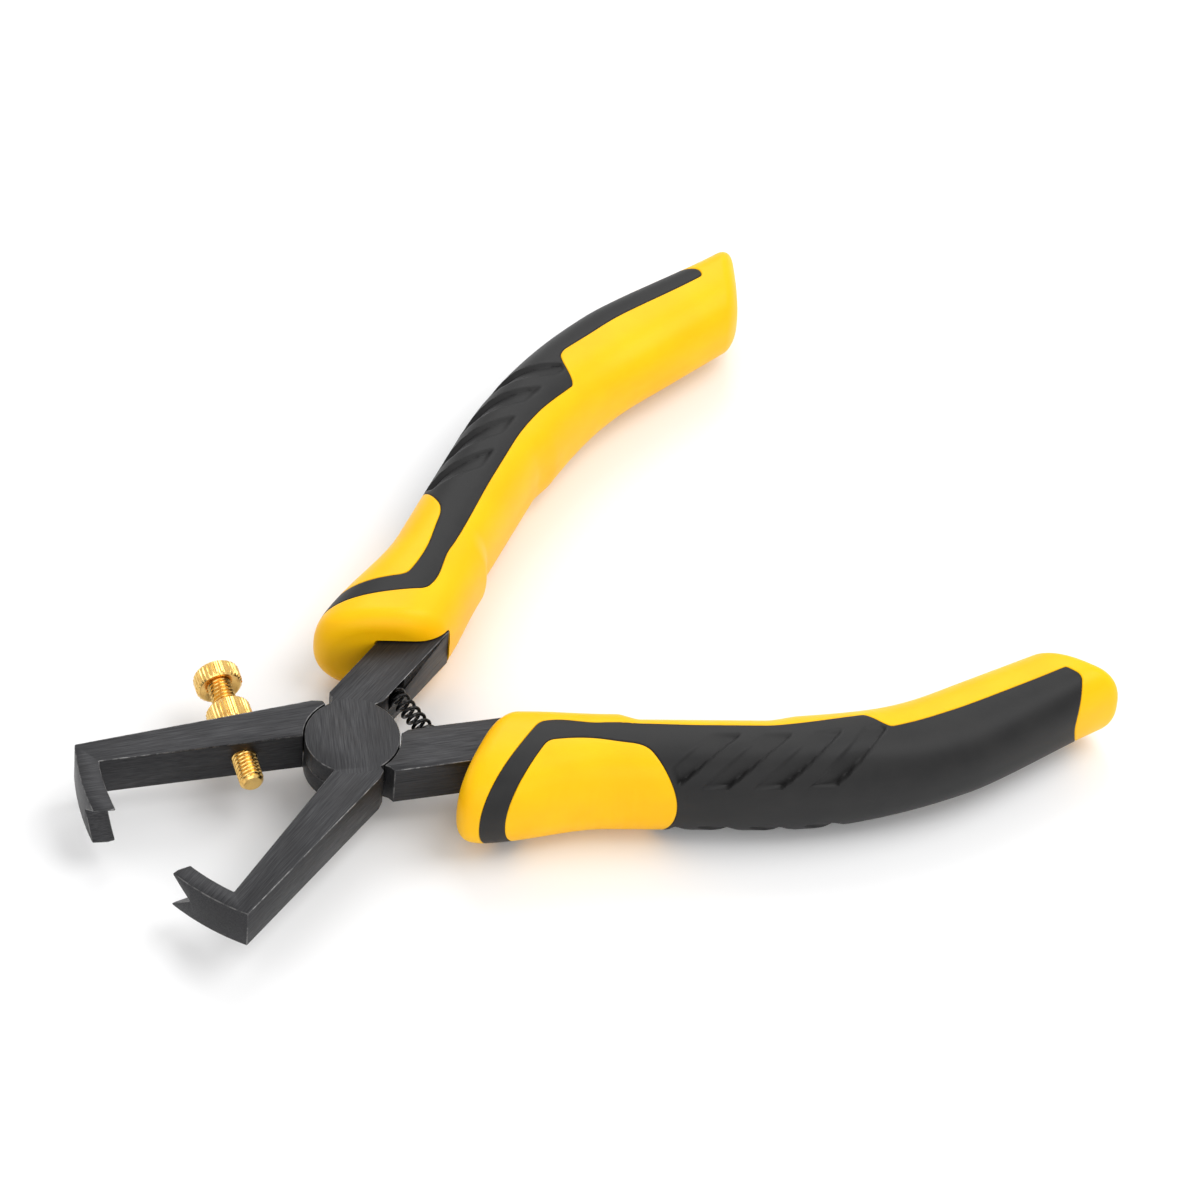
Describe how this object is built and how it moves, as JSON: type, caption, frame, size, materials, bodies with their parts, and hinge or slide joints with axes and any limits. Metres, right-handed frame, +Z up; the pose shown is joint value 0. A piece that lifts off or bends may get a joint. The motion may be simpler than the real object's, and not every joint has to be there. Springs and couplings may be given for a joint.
{
  "type": "wire stripping pliers",
  "caption": "Adjustable wire stripping pliers: lapped steel levers with hooked V blades, a knurled brass stop screw, a return spring and two-colour grips.",
  "frame": {"origin": "middle of the tool's footprint, on the plane that the grips rest on", "axes": "+X along the tool's centre line from the jaws to the handles, +Z up along the pivot, +Y to the side of the upper lever's handle"},
  "size_m": [0.1518, 0.1118, 0.0182],
  "materials": {
    "steel": "dark oxide over fine brushing",
    "spring_wire": "blackened spring wire",
    "brass": "bright turned and knurled",
    "grip_plastic": "satin moulded",
    "grip_rubber": "fine matte moulded"
  },
  "bodies": {
    "lower_lever": {"lever_lower": "steel", "grip_core_lower": "grip_plastic", "grip_rubber_lower": "grip_rubber", "pivot_rivet": "steel", "return_spring": "spring_wire"},
    "upper_lever": {"lever_upper": "steel", "grip_core_upper": "grip_plastic", "grip_rubber_upper": "grip_rubber"},
    "screw": {"stop_screw": "brass"},
    "nut": {"lock_nut": "brass"}
  },
  "joints": [
    {"name": "pivot", "type": "hinge", "parent": "lower_lever", "child": "upper_lever", "pos_m": [-0.03325, 0, 0.0091], "axis": [0, 0, -1], "range_deg": [0, 31], "stiffness_Nm_per_rad": 0.15, "deforming": ["return_spring"]},
    {"name": "screw_travel", "type": "slide", "parent": "lower_lever", "child": "screw", "axis": [-0.304, -0.9527, 0], "range_m": [-0.0045, 0.0012]},
    {"name": "nut_travel", "type": "slide", "parent": "lower_lever", "child": "nut", "axis": [0.304, 0.9527, 0], "range_m": [0, 0.0025]}
  ]
}
